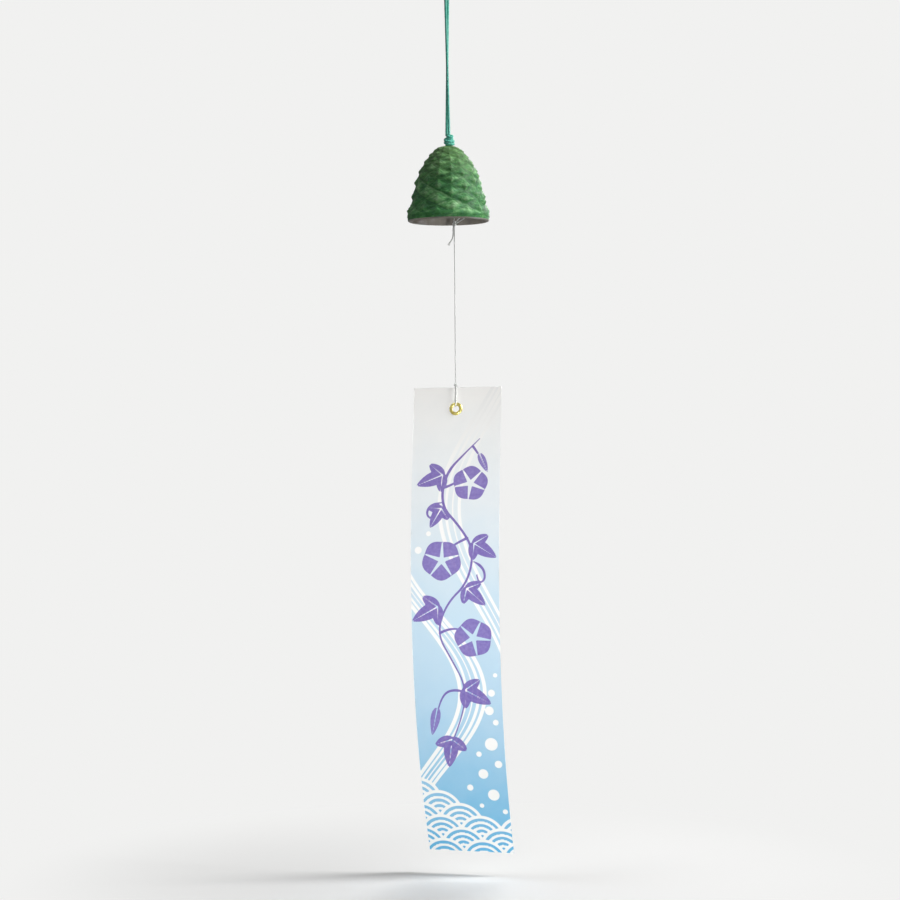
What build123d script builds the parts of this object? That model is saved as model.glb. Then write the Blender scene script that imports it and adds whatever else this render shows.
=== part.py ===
from build123d import *
import math
import os

# A cast-iron wind bell on a doubled cord, with a clapper and a paper tag on a thread.
# Millimetres. +Z is up, -Y is the front. The origin is where the hook carries the loop.

# the doubled cord
cord_diameter = 1.8
strand_gap = 0.1
loop_inside = 7.0
loop_drop = 13.0
loop_neck = 2.2
loop_flare = 5.4
flare_radius = 5.4
swing_gap = 0.7
hang_length = 116.6
strand_foot = 0.75

# the bell's outer wall: a straight side, a long shoulder and a short crown curve
foot_radius = 26.9
foot_height = 4.2
side_lean = 13.5
side_length = 22.4
shoulder_radius = 47.0
shoulder_turn = 31.5
crown_radius = 10.5
crown_turn = 38.0
wall_thickness = 2.4

# the scales cast into it: staggered rows of peaks and hollows
scales_around = 9
scale_relief = 1.6
scale_pitch = 0.21

# the plain band round the mouth
band_height = 4.9
band_radius = 28.1
band_bottom_radius = 27.6
band_top_radius = 27.6
band_swell = 3.7
lip_chamfer = 0.8

# the hole in the crown and the knots on either side of it
bore_diameter = 4.8
knot_seat_gap = 0.15
crown_knot_radius = 3.4
crown_knot_rise = 5.3
crown_knot_foot = 2.9
crown_knot_lobe = 3.5
knot_gap = 0.3
stop_knot_radius = 4.3
stop_knot_height = 6.6
stop_knot_top = 2.6
stop_knot_foot = 1.9
cord_end_length = 9.0
cord_end_place = 1.1
cord_end_splay = 2.2

# the thread, its hitch on the stop knot and the clapper
thread_diameter = 0.6
thread_offset = 3.8
hitch_clearance = 0.05
hitch_height = 1.2
thread_gap = 0.3
clapper_diameter = 19.0
clapper_thickness = 3.0
clapper_edge = 0.9
clapper_bore = 2.0
clapper_height = 9.0
clapper_knot_radius = 1.4
clapper_knot_height = 1.9

# the knot at the mouth that joins the two threads
tie_drop = 1.8
tie_radius = 1.2
tail_side = 0.85
tail_fall = 9.0
tail_sweep = 3.0
tail_end = 14.0
bow_reach = 6.6
bow_rise = 5.0
bow_width = 2.6

# the thread to the tag and the loop on it
tag_thread_length = 109.3
loop_knot_radius = 1.0
loop_knot_rise = 1.6
leg_spread = 60.0

# the paper tag
tag_width = 60.0
tag_length = 322.0
tag_thickness = 0.3
tag_pitch = -13.9
tag_lean = -0.45
tag_yaw = -9.2
curl_start = 62.7
curl_radius = 387.0
curl_slant = -14.6
end_flat = 6.0
curl_steps = 11

# the eyelet
eyelet_drop = 15.0
eyelet_side = -1.0
eyelet_hole = 4.6
eyelet_flange = 9.0
eyelet_wall = 0.45
eyelet_flange_height = 0.6
eyelet_paper_gap = 0.05
washer_diameter = 8.4
washer_thickness = 0.4
lip_width = 0.6
lip_height = 0.35
leg_clearance = 0.3

# what follows from these sizes
cord_radius = cord_diameter / 2
half_pitch = (cord_diameter + strand_gap) / 2
thread_radius = thread_diameter / 2
lean = math.radians(side_lean)


def upright(x, z):
    """The plane that faces the front, with its centre at x and z."""
    return Plane(origin=(x, 0, z), x_dir=(1, 0, 0), z_dir=(0, -1, 0))


def arc_radius(points, k, share=0.45):
    """The largest bend that the two runs at a corner of a cord allow."""
    before = Vector(*points[k]) - Vector(*points[k - 1])
    after = Vector(*points[k + 1]) - Vector(*points[k])
    turn = math.radians(before.get_angle(after))
    return share * min(before.length, after.length) / math.tan(turn / 2)


# the loop over the hook, in the upright plane of its two legs
leg_place = half_pitch * math.sqrt(2)
bow_place = loop_inside / 2 + cord_radius
neck_top = -loop_drop + loop_neck
flare_top = neck_top + loop_flare
loop_plane = Plane(origin=(0, 0, 0), x_dir=(1, -1, 0), z_dir=(-1, -1, 0))
loop_half = [
    (leg_place, -loop_drop, 0),
    (leg_place, neck_top, 0),
    (bow_place, flare_top, 0),
    (bow_place, cord_radius, 0),
]
loop_points = loop_half + [(-x, y, z) for x, y, z in reversed(loop_half)]
neck_radius = arc_radius(loop_points, 1)
hook_radius = bow_place * 0.98
loop_radii = [neck_radius, flare_radius, hook_radius]
loop_radii = loop_radii + loop_radii[::-1]
print("loop radii", [round(r, 2) for r in loop_radii])

with BuildPart() as hanging_loop:
    with BuildLine(loop_plane) as loop_path:
        FilletPolyline(*loop_points, radius=loop_radii)
    with BuildSketch(Plane(origin=loop_path.line @ 0, z_dir=loop_path.line % 0)):
        Circle(cord_radius)
    sweep()

# the two strands, each one straight run, which cross on their way down
crown_z = -hang_length
knot_z = crown_z + crown_knot_rise
strand_top = -loop_drop - swing_gap
strand_bottom = knot_z + crown_knot_radius + knot_gap
with BuildPart() as hanging_cord:
    for side in (1, -1):
        with BuildLine() as strand:
            Line(
                (side * half_pitch, -side * half_pitch, strand_top),
                (-side * strand_foot, -side * half_pitch, strand_bottom),
            )
        with BuildSketch(Plane(origin=strand.line @ 0, z_dir=strand.line % 0)):
            Circle(cord_radius)
        sweep()

# the knot on the crown: a round lobe that the bell tilts about, on a lower lobe
with BuildPart() as crown_knot:
    with BuildSketch(Plane.XZ):
        with BuildLine():
            top = CenterArc((0, knot_z), crown_knot_radius, 90, -130)
            foot = (crown_knot_foot, crown_z + knot_seat_gap)
            waist = top @ 1
            lobe_z = (waist.Y + foot[1]) / 2
            ThreePointArc(waist, (crown_knot_lobe, lobe_z), foot)
            Line(foot, (0, foot[1]))
            Line((0, foot[1]), top @ 0)
        make_face()
    revolve(axis=Axis.Z)

# the line of the bell's wall, halfway between peaks and hollows
with BuildLine() as wall:
    wall_side = Line(
        (foot_radius, foot_height),
        (
            foot_radius - side_length * math.sin(lean),
            foot_height + side_length * math.cos(lean),
        ),
    )
    wall_shoulder = JernArc(wall_side @ 1, wall_side % 1, shoulder_radius, shoulder_turn)
    wall_crown = JernArc(wall_shoulder @ 1, wall_shoulder % 1, crown_radius, crown_turn)
wall_line = Wire(wall.edges())
bell_height = (wall_crown @ 1).Y
crown_flat = (wall_crown @ 1).X
mouth_z = crown_z - bell_height

# rings of points on that line, in and out by turns, the rows nearer towards the crown
ring_places = [0.0]
while True:
    here = wall_line.position_at(ring_places[-1], position_mode=PositionMode.LENGTH)
    following = ring_places[-1] + scale_pitch * here.X
    if following > wall_line.length - scale_pitch * crown_flat:
        break
    ring_places.append(following)
rings = []
for row, place in enumerate(ring_places):
    middle = wall_line.position_at(place, position_mode=PositionMode.LENGTH)
    relief = scale_relief * middle.X / foot_radius
    outline = []
    for column in range(2 * scales_around):
        out = 0.5 if (row + column) % 2 else -0.5
        angle = math.pi * column / scales_around
        reach = middle.X + out * relief
        outline.append((reach * math.cos(angle), reach * math.sin(angle)))
    rings.append((middle.Y, outline))
turns = [math.pi * column / scales_around for column in range(2 * scales_around)]
rings.append((bell_height, [(crown_flat * math.cos(a), crown_flat * math.sin(a)) for a in turns]))

# the inside runs parallel to that line, with a flat ceiling for the knot
inset = wall_thickness + scale_relief / 2
inner_x = foot_radius - inset * math.cos(lean)
inner_y = foot_height - inset * math.sin(lean)
mouth_radius = inner_x + inner_y * math.tan(lean)
ceiling_turn = 90 - side_lean - shoulder_turn

with BuildPart() as bell_body:
    for height, outline in rings:
        with BuildSketch(Plane.XY.offset(mouth_z + height)):
            Polygon(*outline, align=None)
    loft(ruled=True)
    with BuildSketch(upright(0, mouth_z)):
        with BuildLine():
            Polyline(
                (0, 0),
                (band_bottom_radius, 0),
                (band_radius, band_swell),
                (band_top_radius, band_height),
                (0, band_height),
                close=True,
            )
        make_face()
    revolve(axis=Axis.Z)
    rim = bell_body.edges().group_by(Axis.Z)[0]
    chamfer(rim, lip_chamfer)
    with BuildSketch(upright(0, mouth_z)):
        with BuildLine():
            mouth = Line((0, 0), (mouth_radius, 0))
            inner_side = Line(
                mouth @ 1,
                (
                    inner_x - side_length * math.sin(lean),
                    inner_y + side_length * math.cos(lean),
                ),
            )
            inner_shoulder = JernArc(
                inner_side @ 1, inner_side % 1, shoulder_radius - inset, shoulder_turn
            )
            inner_crown = JernArc(
                inner_shoulder @ 1, inner_shoulder % 1, crown_radius - inset, ceiling_turn
            )
            ceiling = Line(inner_crown @ 1, (0, (inner_crown @ 1).Y))
            Line(ceiling @ 1, mouth @ 0)
        make_face()
    revolve(axis=Axis.Z, mode=Mode.SUBTRACT)
    with Locations((0, 0, crown_z)):
        Cylinder(bore_diameter / 2, 3 * crown_radius, mode=Mode.SUBTRACT)

ceiling_z = mouth_z + (ceiling @ 1).Y
stop_top = ceiling_z - knot_seat_gap
stop_foot_z = stop_top - stop_knot_height

# the two strands where they pass through the crown
bore_length = crown_z + knot_seat_gap - stop_top
with BuildPart() as bore_cord:
    with BuildSketch(Plane.XY.offset(stop_top)):
        with Locations((half_pitch, 0), (-half_pitch, 0)):
            Circle(cord_radius)
    extrude(amount=bore_length)

# the knot that carries the bell, with a waist for the thread's hitch
waist_radius = thread_offset - thread_radius - hitch_clearance
hitch_z = stop_foot_z + hitch_height
with BuildPart() as stop_knot:
    with BuildSketch(Plane.XZ):
        with BuildLine():
            Line((0, stop_top), (stop_knot_top, stop_top))
            belly_z = (stop_top + hitch_z) / 2
            belly = ThreePointArc(
                (stop_knot_top, stop_top),
                (stop_knot_radius, belly_z),
                (waist_radius, hitch_z + thread_radius),
            )
            neck = Line(belly @ 1, (waist_radius, hitch_z))
            foot = Line(neck @ 1, (stop_knot_foot, stop_foot_z))
            Line(foot @ 1, (0, stop_foot_z))
            Line((0, stop_foot_z), (0, stop_top))
        make_face()
    revolve(axis=Axis.Z)

with BuildPart() as thread_hitch:
    with BuildSketch(Plane.XZ):
        with Locations((thread_offset, hitch_z)):
            Circle(thread_radius)
    revolve(axis=Axis.Z)

# the cord's two cut ends, spread to the front and the back
with BuildPart() as cord_ends:
    for side in (1, -1):
        with BuildLine() as cut_end:
            Line(
                (0, side * cord_end_place, stop_foot_z),
                (0, side * (cord_end_place + cord_end_splay), stop_foot_z - cord_end_length),
            )
        with BuildSketch(Plane(origin=cut_end.line @ 0, z_dir=(0, 0, -1))):
            Circle(cord_radius)
        sweep()

# the clapper's thread, from its hitch through the disc to the knot at the mouth
tie_z = mouth_z - tie_drop
clapper_z = mouth_z + clapper_height
thread_top = hitch_z - thread_radius - thread_gap
with BuildPart() as clapper_thread:
    with BuildLine() as thread_line:
        Line((thread_offset, 0, thread_top), (thread_offset, 0, tie_z + tie_radius))
    with BuildSketch(Plane(origin=thread_line.line @ 0, z_dir=thread_line.line % 0)):
        Circle(thread_radius)
    sweep()

clapper_plane = Plane((thread_offset, 0, clapper_z))
with BuildPart() as clapper:
    with BuildSketch(clapper_plane):
        Circle(clapper_diameter / 2)
        Circle(clapper_bore / 2, mode=Mode.SUBTRACT)
    extrude(amount=clapper_thickness / 2, both=True)
    rims = clapper.edges().filter_by(GeomType.CIRCLE).group_by(SortBy.RADIUS)[-1]
    fillet(rims, clapper_edge)

knot_top = clapper_z - clapper_thickness / 2
with BuildPart() as clapper_knot:
    with BuildSketch(upright(thread_offset, knot_top)):
        with BuildLine():
            inner = Line((thread_radius, 0), (thread_radius, -clapper_knot_height))
            ThreePointArc(
                inner @ 1, (clapper_knot_radius, -clapper_knot_height / 2), inner @ 0
            )
        make_face()
    revolve(axis=Axis((thread_offset, 0, 0), (0, 0, 1)))

# the knot at the mouth, with its bow to the upper right and its tail to the lower left
with BuildPart() as tie_knot:
    with Locations((thread_offset, 0, tie_z)):
        Sphere(tie_radius)

bow_angle = math.atan2(bow_rise, bow_reach)
bow_side = (-math.sin(bow_angle) * bow_width / 2, math.cos(bow_angle) * bow_width / 2)
bow_out = (tie_radius * math.cos(bow_angle), tie_radius * math.sin(bow_angle))
bow_foot = thread_radius + hitch_clearance
bow_points = [
    (bow_out[0] - math.sin(bow_angle) * bow_foot, bow_out[1] + math.cos(bow_angle) * bow_foot, 0),
    (bow_reach + bow_side[0], bow_rise + bow_side[1], 0),
    (bow_reach - bow_side[0], bow_rise - bow_side[1], 0),
    (bow_out[0] + math.sin(bow_angle) * bow_foot, bow_out[1] - math.cos(bow_angle) * bow_foot, 0),
]
bow_radii = [arc_radius(bow_points, k) for k in (1, 2)]
print("bow radii", [round(r, 2) for r in bow_radii])
tie_plane = upright(thread_offset, tie_z)
with BuildPart() as knot_bow:
    with BuildLine(tie_plane) as bow_path:
        FilletPolyline(*bow_points, radius=bow_radii)
    with BuildSketch(Plane(origin=bow_path.line @ 0, z_dir=bow_path.line % 0)):
        Circle(thread_radius)
    sweep()

tail_start = math.sqrt(tie_radius**2 - tail_side**2) + thread_radius
tail_points = [
    (-tail_side, -tail_start, 0),
    (-tail_side, -tail_fall, 0),
    (-tail_side - tail_sweep, -tail_end, 0),
]
tail_radius = arc_radius(tail_points, 1)
print("tail radius", round(tail_radius, 2))
with BuildPart() as knot_tail:
    with BuildLine(tie_plane) as tail_path:
        FilletPolyline(*tail_points, radius=[tail_radius])
    with BuildSketch(Plane(origin=tail_path.line @ 0, z_dir=tail_path.line % 0)):
        Circle(thread_radius)
    sweep()

# the thread to the tag, one straight run
loop_knot_z = tie_z - tag_thread_length
with BuildPart() as tag_thread:
    with BuildLine() as fall:
        Line(
            (thread_offset, 0, tie_z - tie_radius - thread_gap),
            (thread_offset, 0, loop_knot_z + loop_knot_radius + thread_gap),
        )
    with BuildSketch(Plane(origin=fall.line @ 0, z_dir=fall.line % 0)):
        Circle(thread_radius)
    sweep()

with BuildPart() as loop_knot:
    with Locations((thread_offset, 0, loop_knot_z)):
        Sphere(loop_knot_radius)


def turned(vector):
    """A direction of the upright tag, turned as the tag hangs."""
    hung = Vector(*vector).rotate(Axis.X, tag_pitch).rotate(Axis.Y, tag_lean)
    return hung.rotate(Axis.Z, tag_yaw)


# the tag's own plane at the eyelet: across, up along the paper, and out of its front
tag_across = turned((1, 0, 0))
tag_up = turned((0, 0, 1))
tag_front = turned((0, -1, 0))
to_eyelet = tag_across * eyelet_side - tag_up * eyelet_drop
tag_top_z = loop_knot_z - loop_knot_rise
eyelet_place = Vector(thread_offset, to_eyelet.Y, tag_top_z + to_eyelet.Z)
tag_plane = Plane(origin=eyelet_place, x_dir=tag_across, z_dir=tag_front)


slant_cos = math.cos(math.radians(curl_slant))
slant_sin = math.sin(math.radians(curl_slant))
curl_end = tag_length * slant_cos - tag_width / 2 * abs(slant_sin) - end_flat


def tag_point(across, down):
    """A point of the paper, which is flat at both ends and curls back along a slant."""
    along = down * slant_cos + across * slant_sin
    beside = across * slant_cos - down * slant_sin
    bend = max(0.0, min(along, curl_end) - curl_start) / curl_radius
    past = max(0.0, along - curl_end)
    run = min(along, curl_start) + curl_radius * math.sin(bend) + past * math.cos(bend)
    back = curl_radius * (1 - math.cos(bend)) + past * math.sin(bend)
    return tag_plane.from_local_coords(
        Vector(
            beside * slant_cos + run * slant_sin - eyelet_side,
            beside * slant_sin - run * slant_cos + eyelet_drop,
            -back,
        )
    )


def fold_down(across, along):
    """How far down the paper a fold line of the curl crosses it."""
    return (along - across * slant_sin) / slant_cos


# the paper's cross lines: its top edge, the fold lines of the curl and its bottom edge
barrel_radius = eyelet_hole / 2 + eyelet_wall
half_width = tag_width / 2
folds = [curl_start + (curl_end - curl_start) * k / curl_steps for k in range(curl_steps + 1)]
cross_lines = [(0.0, 0.0, 0.0, 1.0)]
for fold in folds:
    cross_lines.append((fold_down(-half_width, fold), fold_down(half_width, fold), slant_sin, slant_cos))
cross_lines.append((tag_length, tag_length, 0.0, 1.0))
with BuildPart() as paper_tag:
    for left_down, right_down, step_across, step_down in cross_lines:
        left = tag_point(-half_width, left_down)
        right = tag_point(half_width, right_down)
        middle_down = (left_down + right_down) / 2
        step = tag_point(step_across, middle_down + step_down) - tag_point(
            -step_across, middle_down - step_down
        )
        section = Plane(origin=(left + right) / 2, x_dir=right - left, z_dir=step)
        with BuildSketch(section):
            Rectangle((right - left).length, tag_thickness)
    loft(ruled=True)
    with BuildSketch(tag_plane):
        Circle(barrel_radius + eyelet_paper_gap)
    extrude(amount=2 * tag_thickness, both=True, mode=Mode.SUBTRACT)

# the eyelet's section, outwards from its axis: flange, barrel and rolled lip
front_z = tag_thickness / 2
back_z = -tag_thickness / 2 - washer_thickness
eyelet_axis = Axis(eyelet_place, tag_front)
eyelet_section = Plane(origin=eyelet_place, x_dir=tag_across, z_dir=tag_across.cross(tag_front))
with BuildPart() as eyelet:
    with BuildSketch(eyelet_section):
        with BuildLine():
            bore = Line(
                (eyelet_hole / 2, back_z - lip_height / 2),
                (eyelet_hole / 2, front_z + eyelet_flange_height / 2),
            )
            dome = ThreePointArc(
                bore @ 1,
                ((eyelet_hole + eyelet_flange) / 4, front_z + eyelet_flange_height),
                (eyelet_flange / 2, front_z),
            )
            under = Line(dome @ 1, (barrel_radius, front_z))
            outside = Line(under @ 1, (barrel_radius, back_z))
            seat = Line(outside @ 1, (barrel_radius + lip_width, back_z))
            ThreePointArc(
                seat @ 1,
                ((eyelet_hole / 2 + barrel_radius + lip_width) / 2, back_z - lip_height),
                bore @ 0,
            )
        make_face()
    revolve(axis=eyelet_axis)

with BuildPart() as eyelet_washer:
    with BuildSketch(tag_plane.offset(-tag_thickness / 2)):
        Circle(washer_diameter / 2)
        Circle(barrel_radius + eyelet_paper_gap, mode=Mode.SUBTRACT)
    extrude(amount=-washer_thickness)

# the loop of thread through the eyelet, down the front and up the back of the paper
leg_front = front_z + eyelet_flange_height + leg_clearance + thread_radius
leg_back = back_z - lip_height - leg_clearance - thread_radius
bight = eyelet_hole / 2 - thread_radius - leg_clearance / 2
knot_local = tag_plane.to_local_coords(Vector(thread_offset, 0, loop_knot_z))
leg_start = loop_knot_radius + thread_radius + hitch_clearance
leg_top = knot_local.Y - leg_start * math.cos(math.radians(leg_spread))
leg_apart = leg_start * math.sin(math.radians(leg_spread))
loop_side = Plane(origin=eyelet_place, x_dir=tag_front, z_dir=tag_front.cross(tag_up))
leg_points = [
    (knot_local.Z + leg_apart, leg_top, 0),
    (leg_front, (leg_top + bight) / 2, 0),
    (leg_front, bight, 0),
    (leg_back, bight, 0),
    (leg_back, (leg_top + bight) / 2, 0),
    (knot_local.Z - leg_apart, leg_top, 0),
]
bight_radius = 0.45 * (leg_front - leg_back)
leg_radii = [arc_radius(leg_points, 1), bight_radius, bight_radius, arc_radius(leg_points, 4)]
print("tag loop radii", [round(r, 2) for r in leg_radii])
with BuildPart() as tag_loop:
    with BuildLine(loop_side) as leg_path:
        FilletPolyline(*leg_points, radius=leg_radii)
    with BuildSketch(Plane(origin=leg_path.line @ 0, z_dir=leg_path.line % 0)):
        Circle(thread_radius)
    sweep()

os.makedirs("parts", exist_ok=True)

hanging_loop.part.label = "hanging_loop"
export_step(hanging_loop.part, "parts/hanging_loop.step")
hanging_cord.part.label = "hanging_cord"
export_step(hanging_cord.part, "parts/hanging_cord.step")
crown_knot.part.label = "crown_knot"
export_step(crown_knot.part, "parts/crown_knot.step")
bore_cord.part.label = "bore_cord"
export_step(bore_cord.part, "parts/bore_cord.step")
stop_knot.part.label = "stop_knot"
export_step(stop_knot.part, "parts/stop_knot.step")
cord_ends.part.label = "cord_ends"
export_step(cord_ends.part, "parts/cord_ends.step")
thread_hitch.part.label = "thread_hitch"
export_step(thread_hitch.part, "parts/thread_hitch.step")
bell_body.part.label = "bell_body"
export_step(bell_body.part, "parts/bell_body.step")
clapper_thread.part.label = "clapper_thread"
export_step(clapper_thread.part, "parts/clapper_thread.step")
clapper.part.label = "clapper"
export_step(clapper.part, "parts/clapper.step")
clapper_knot.part.label = "clapper_knot"
export_step(clapper_knot.part, "parts/clapper_knot.step")
tie_knot.part.label = "tie_knot"
export_step(tie_knot.part, "parts/tie_knot.step")
knot_bow.part.label = "knot_bow"
export_step(knot_bow.part, "parts/knot_bow.step")
knot_tail.part.label = "knot_tail"
export_step(knot_tail.part, "parts/knot_tail.step")
tag_thread.part.label = "tag_thread"
export_step(tag_thread.part, "parts/tag_thread.step")
loop_knot.part.label = "loop_knot"
export_step(loop_knot.part, "parts/loop_knot.step")
tag_loop.part.label = "tag_loop"
export_step(tag_loop.part, "parts/tag_loop.step")
paper_tag.part.label = "paper_tag"
export_step(paper_tag.part, "parts/paper_tag.step")
eyelet.part.label = "eyelet"
export_step(eyelet.part, "parts/eyelet.step")
eyelet_washer.part.label = "eyelet_washer"
export_step(eyelet_washer.part, "parts/eyelet_washer.step")
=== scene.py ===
import math

import bmesh
import bpy
import numpy as np
from mathutils import Matrix, Vector, noise


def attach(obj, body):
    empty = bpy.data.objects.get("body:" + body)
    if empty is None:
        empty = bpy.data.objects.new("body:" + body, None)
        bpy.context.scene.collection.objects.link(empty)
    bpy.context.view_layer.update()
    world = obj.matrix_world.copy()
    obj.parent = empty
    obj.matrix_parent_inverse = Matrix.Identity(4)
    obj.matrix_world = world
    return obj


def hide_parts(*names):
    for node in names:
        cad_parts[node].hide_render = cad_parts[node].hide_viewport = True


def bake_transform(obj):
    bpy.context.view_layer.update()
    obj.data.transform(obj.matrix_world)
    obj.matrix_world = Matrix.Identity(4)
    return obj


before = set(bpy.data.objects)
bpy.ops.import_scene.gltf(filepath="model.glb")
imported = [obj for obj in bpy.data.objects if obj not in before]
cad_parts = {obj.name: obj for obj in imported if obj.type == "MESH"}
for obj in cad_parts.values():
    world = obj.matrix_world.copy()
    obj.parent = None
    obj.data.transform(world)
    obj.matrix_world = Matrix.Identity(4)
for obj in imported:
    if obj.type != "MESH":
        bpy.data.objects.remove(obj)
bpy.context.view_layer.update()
mm = 0.001
print("frame loaded:", len(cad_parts), "nodes")


# shared helpers

def fromHex(text):  # sRGB hex to the linear colour that a socket takes
    parts = [int(text[i:i + 2], 16) / 255 for i in (1, 3, 5)]
    return tuple(p / 12.92 if p <= 0.04045 else ((p + 0.055) / 1.055) ** 2.4 for p in parts) + (1.0,)


def perMm(size):  # a texture scale whose features are about this many mm
    return 1000.0 / size


def addNode(material, kind, inputs=None, stops=None, **settings):
    node = material.node_tree.nodes.new("ShaderNode" + kind)
    for name, value in settings.items():
        setattr(node, name, value)
    for name, value in (inputs or {}).items():
        if isinstance(value, bpy.types.NodeSocket):
            material.node_tree.links.new(value, node.inputs[name])
        else:
            node.inputs[name].default_value = value
    for k, (place, colour) in enumerate(stops or []):
        ramp = node.color_ramp.elements
        stop = ramp[k] if k < 2 else ramp.new(place)
        stop.position = place
        stop.color = fromHex(colour)
    return node


def newMaterial(name, constants):  # what is the same all over the surface stands on the shader's own sockets
    material = bpy.data.materials.new(name)
    material.use_nodes = True
    shader = material.node_tree.nodes["Principled BSDF"]
    for socket, value in constants.items():
        shader.inputs[socket].default_value = value
    return material, shader


def wire(material, output, socket):
    material.node_tree.links.new(output, socket)


def addGrain(material, shader, place, scale, detail, strength, depth):  # bumps too small to model
    grain = addNode(material, "TexNoise", {"Vector": place, "Scale": scale, "Detail": detail})
    bump = addNode(material, "Bump", {"Strength": strength, "Distance": depth, "Height": grain.outputs[0]})
    wire(material, bump.outputs[0], shader.inputs["Normal"])


def addObject(name, mesh, *materials):
    mesh.name = name
    piece = bpy.data.objects.new(name, mesh)
    bpy.context.scene.collection.objects.link(piece)
    for material in materials:
        mesh.materials.append(material)
    return piece


# cord and thread: routes, braid and twist

def readRoute(points, smooth=48):  # guide points in mm in, points of their NURBS line in m out
    curve = bpy.data.curves.new("route", "CURVE")
    curve.dimensions = "3D"
    curve.resolution_u = smooth
    spline = curve.splines.new("NURBS")
    spline.points.add(len(points) - 1)
    for point, place in zip(spline.points, points):
        point.co = (place[0] * mm, place[1] * mm, place[2] * mm, 1)
    spline.order_u = 3
    spline.use_endpoint_u = True
    holder = bpy.data.objects.new("route", curve)
    bpy.context.scene.collection.objects.link(holder)
    mesh = bpy.data.meshes.new_from_object(holder)
    line = np.array([v.co[:] for v in mesh.vertices])
    bpy.data.objects.remove(holder)
    bpy.data.curves.remove(curve)
    bpy.data.meshes.remove(mesh)
    return line


def runAlong(line):  # how far along the line each of its points is
    return np.concatenate([[0], np.cumsum(np.linalg.norm(np.diff(line, axis=0), axis=1))])


startSide = (0.3, 1.0, 0.2)  # a direction that no route starts in


def walkLine(line, step):  # places every step along the line, each with two side directions
    run = runAlong(line)
    count = max(4, int(run[-1] / step))
    along = np.linspace(0, run[-1], count + 1)
    spots = np.stack([np.interp(along, run, line[:, k]) for k in range(3)], axis=1)
    ahead = np.gradient(spots, axis=0)
    ahead /= np.linalg.norm(ahead, axis=1)[:, None]
    side = np.cross(ahead[0], startSide)
    side /= np.linalg.norm(side)
    sides = []
    for direction in ahead:
        side = side - direction * np.dot(side, direction)
        side = side / np.linalg.norm(side)
        sides.append(side)
    sides = np.array(sides)
    return along, spots, sides, np.cross(ahead, sides)


def roundLine(spots, sideA, sideB, reach, angle):  # places at a distance and an angle round a line
    return spots + (reach * np.cos(angle))[:, None] * sideA + (reach * np.sin(angle))[:, None] * sideB


def yarnPiece(name, yarns, material):  # yarns: list of (points, radius along), tubes of one mesh
    curve = bpy.data.curves.new(name, "CURVE")
    curve.dimensions = "3D"
    curve.bevel_depth = 1.0
    curve.bevel_resolution = 1  # six faces round a yarn
    marks = []
    for spots, radii in yarns:
        spline = curve.splines.new("POLY")
        spline.points.add(len(spots) - 1)
        spline.points.foreach_set("co", np.column_stack([spots, np.ones(len(spots))]).ravel())
        spline.points.foreach_set("radius", np.asarray(radii, float))
        marks.append(runAlong(spots))
    holder = bpy.data.objects.new(name, curve)
    bpy.context.scene.collection.objects.link(holder)
    mesh = bpy.data.meshes.new_from_object(holder)
    bpy.data.objects.remove(holder)
    bpy.data.curves.remove(curve)
    along = np.concatenate(marks)
    ring = len(mesh.vertices) // len(along)
    turn = np.tile(np.arange(ring) * 2 * math.pi / ring, len(along))
    run = np.repeat(along, ring) / mm
    yarn = mesh.attributes.new("yarn", "FLOAT_VECTOR", "POINT")  # round the yarn and along it in mm
    places = np.column_stack([np.cos(turn), np.sin(turn), run])
    yarn.data.foreach_set("vector", places.astype(np.float32).ravel())
    shape = bmesh.new()
    shape.from_mesh(mesh)
    bmesh.ops.holes_fill(shape, edges=[e for e in shape.edges if e.is_boundary], sides=0)
    bmesh.ops.recalc_face_normals(shape, faces=shape.faces)
    for face in shape.faces:
        face.smooth = len(face.verts) == 4
    shape.to_mesh(mesh)
    shape.free()
    return addObject(name, mesh, material)


# in mm: a yarn's radius and how far it runs from the middle, the length of a turn, the step between points
cordMake = {"yarns": 4, "yarn": 0.37, "middle": 0.43, "weave": 0.16, "lead": 7.2, "step": 0.3}
threadMake = {
    "plies": 3, "ply": 0.2, "middle": 0.17, "lead": 3.4, "step": 0.25,
    "fray": 0.0, "splay": 0.85, "curve": 1.5, "spread": (1, 0.55, 0.8), "unwind": 0.6, "thin": 0.35,
}


def braidYarns(line, make=cordMake):  # yarns go each way round, over one and under one, on a core
    along, spots, sideA, sideB = walkLine(line, make["step"] * mm)
    turn = 2 * math.pi * along / (make["lead"] * mm)
    yarns = [(spots, np.full(len(spots), make["middle"] * mm))]
    for way in (1, -1):
        for k in range(make["yarns"]):
            angle = way * turn + k * 2 * math.pi / make["yarns"]
            reach = (make["middle"] + way * make["weave"] * np.cos(make["yarns"] * turn)) * mm
            place = roundLine(spots, sideA, sideB, reach, angle)
            yarns.append((place, np.full(len(spots), make["yarn"] * mm)))
    return yarns


def twistYarns(line, make=threadMake):  # plies, which come apart where the end is frayed
    along, spots, sideA, sideB = walkLine(line, make["step"] * mm)
    turn = 2 * math.pi * along / (make["lead"] * mm)
    loose = np.zeros(len(along))
    if make["fray"]:
        loose = np.clip((along - along[-1]) / (make["fray"] * mm) + 1, 0, 1)
    yarns = []
    for k in range(make["plies"]):
        angle = turn * (1 - make["unwind"] * loose) + k * 2 * math.pi / make["plies"]
        reach = (make["middle"] + make["splay"] * loose ** make["curve"] * make["spread"][k]) * mm
        place = roundLine(spots, sideA, sideB, reach, angle)
        yarns.append((place, make["ply"] * mm * (1 - make["thin"] * loose)))
    return yarns


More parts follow.
